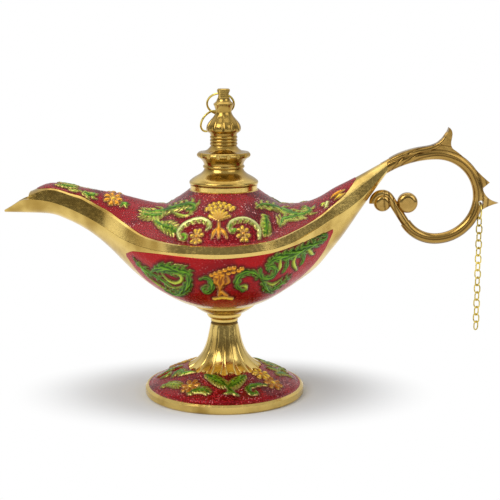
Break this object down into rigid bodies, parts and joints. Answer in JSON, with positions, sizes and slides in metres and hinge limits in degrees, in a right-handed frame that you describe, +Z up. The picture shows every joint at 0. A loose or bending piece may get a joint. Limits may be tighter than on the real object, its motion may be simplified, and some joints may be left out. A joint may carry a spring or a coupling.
{
  "type": "genie oil lamp",
  "caption": "Cast brass oil lamp with a long spout, a round belly on a fluted foot, a lift-off finial lid with wire rings, and a scroll ring handle with a short chain.",
  "frame": {"origin": "on the axis of the foot and neck, on the plane that the lamp stands on", "axes": "+X from the spout to the handle, +Z up, -Y towards the side shown in the picture"},
  "size_m": [0.189, 0.0698, 0.1184],
  "materials": {
    "brass": "polished"
  },
  "bodies": {
    "lamp_body": {"bowl": "brass", "cover": "brass", "handle": "brass", "foot": "brass", "foot_screw": "brass", "foot_washer": "brass"},
    "lid": {"lid": "brass"},
    "lid_ring_upper": {"lid_ring_upper": "brass"},
    "lid_ring_lower": {"lid_ring_lower": "brass"},
    "chain_ring": {"chain_ring": "brass"},
    "chain_link_01": {"chain_link_01": "brass"},
    "chain_link_02": {"chain_link_02": "brass"},
    "chain_link_03": {"chain_link_03": "brass"},
    "chain_link_04": {"chain_link_04": "brass"},
    "chain_link_05": {"chain_link_05": "brass"},
    "chain_link_06": {"chain_link_06": "brass"},
    "chain_link_07": {"chain_link_07": "brass"},
    "chain_link_08": {"chain_link_08": "brass"},
    "chain_link_09": {"chain_link_09": "brass"},
    "chain_link_10": {"chain_link_10": "brass"},
    "chain_link_11": {"chain_link_11": "brass"},
    "chain_link_12": {"chain_link_12": "brass"},
    "chain_link_13": {"chain_link_13": "brass"},
    "chain_link_14": {"chain_link_14": "brass"},
    "chain_link_15": {"chain_link_15": "brass"}
  },
  "joints": [
    {"name": "lid_lift", "type": "slide", "parent": "lamp_body", "child": "lid", "axis": [0, 0, 1], "range_m": [0, 0.03]},
    {"name": "lid_ring_upper_swing", "type": "hinge", "parent": "lid", "child": "lid_ring_upper", "pos_m": [0, 0, 0.116], "axis": [1, 0, 0], "range_deg": [0, 140]},
    {"name": "lid_ring_lower_swing", "type": "hinge", "parent": "lid_ring_upper", "child": "lid_ring_lower", "pos_m": [-0.00297, 0.00536, 0.10863], "axis": [-0.9382, -0.2034, 0.28], "range_deg": [-20, 20]},
    {"name": "chain_ring_swing", "type": "hinge", "parent": "lamp_body", "child": "chain_ring", "pos_m": [0.0982, 0, 0.07505], "axis": [0, -1, 0], "range_deg": [0, 45]},
    {"name": "chain_link_01_swing", "type": "hinge", "parent": "chain_ring", "child": "chain_link_01", "pos_m": [0.0982, 0, 0.06865], "axis": [0, -1, 0], "range_deg": [-5, 35]},
    {"name": "chain_link_02_swing", "type": "hinge", "parent": "chain_link_01", "child": "chain_link_02", "pos_m": [0.0982, 0, 0.06578], "axis": [0.7071, 0.7071, 0], "range_deg": [-30, 30]},
    {"name": "chain_link_03_swing", "type": "hinge", "parent": "chain_link_02", "child": "chain_link_03", "pos_m": [0.0982, 0, 0.06286], "axis": [0.7071, -0.7071, 0], "range_deg": [-30, 30]},
    {"name": "chain_link_04_swing", "type": "hinge", "parent": "chain_link_03", "child": "chain_link_04", "pos_m": [0.0982, 0, 0.05994], "axis": [0.7071, 0.7071, 0], "range_deg": [-30, 30]},
    {"name": "chain_link_05_swing", "type": "hinge", "parent": "chain_link_04", "child": "chain_link_05", "pos_m": [0.0982, 0, 0.05702], "axis": [0.7071, -0.7071, 0], "range_deg": [-30, 30]},
    {"name": "chain_link_06_swing", "type": "hinge", "parent": "chain_link_05", "child": "chain_link_06", "pos_m": [0.0982, 0, 0.0541], "axis": [0.7071, 0.7071, 0], "range_deg": [-30, 30]},
    {"name": "chain_link_07_swing", "type": "hinge", "parent": "chain_link_06", "child": "chain_link_07", "pos_m": [0.0982, 0, 0.05118], "axis": [0.7071, -0.7071, 0], "range_deg": [-30, 30]},
    {"name": "chain_link_08_swing", "type": "hinge", "parent": "chain_link_07", "child": "chain_link_08", "pos_m": [0.0982, 0, 0.04826], "axis": [0.7071, 0.7071, 0], "range_deg": [-30, 30]},
    {"name": "chain_link_09_swing", "type": "hinge", "parent": "chain_link_08", "child": "chain_link_09", "pos_m": [0.0982, 0, 0.04534], "axis": [0.7071, -0.7071, 0], "range_deg": [-30, 30]},
    {"name": "chain_link_10_swing", "type": "hinge", "parent": "chain_link_09", "child": "chain_link_10", "pos_m": [0.0982, 0, 0.04242], "axis": [0.7071, 0.7071, 0], "range_deg": [-30, 30]},
    {"name": "chain_link_11_swing", "type": "hinge", "parent": "chain_link_10", "child": "chain_link_11", "pos_m": [0.0982, 0, 0.0395], "axis": [0.7071, -0.7071, 0], "range_deg": [-30, 30]},
    {"name": "chain_link_12_swing", "type": "hinge", "parent": "chain_link_11", "child": "chain_link_12", "pos_m": [0.0982, 0, 0.03658], "axis": [0.7071, 0.7071, 0], "range_deg": [-30, 30]},
    {"name": "chain_link_13_swing", "type": "hinge", "parent": "chain_link_12", "child": "chain_link_13", "pos_m": [0.0982, 0, 0.03366], "axis": [0.7071, -0.7071, 0], "range_deg": [-30, 30]},
    {"name": "chain_link_14_swing", "type": "hinge", "parent": "chain_link_13", "child": "chain_link_14", "pos_m": [0.0982, 0, 0.03074], "axis": [0.7071, 0.7071, 0], "range_deg": [-30, 30]},
    {"name": "chain_link_15_swing", "type": "hinge", "parent": "chain_link_14", "child": "chain_link_15", "pos_m": [0.0982, 0, 0.02782], "axis": [0.7071, -0.7071, 0], "range_deg": [-30, 30]}
  ]
}
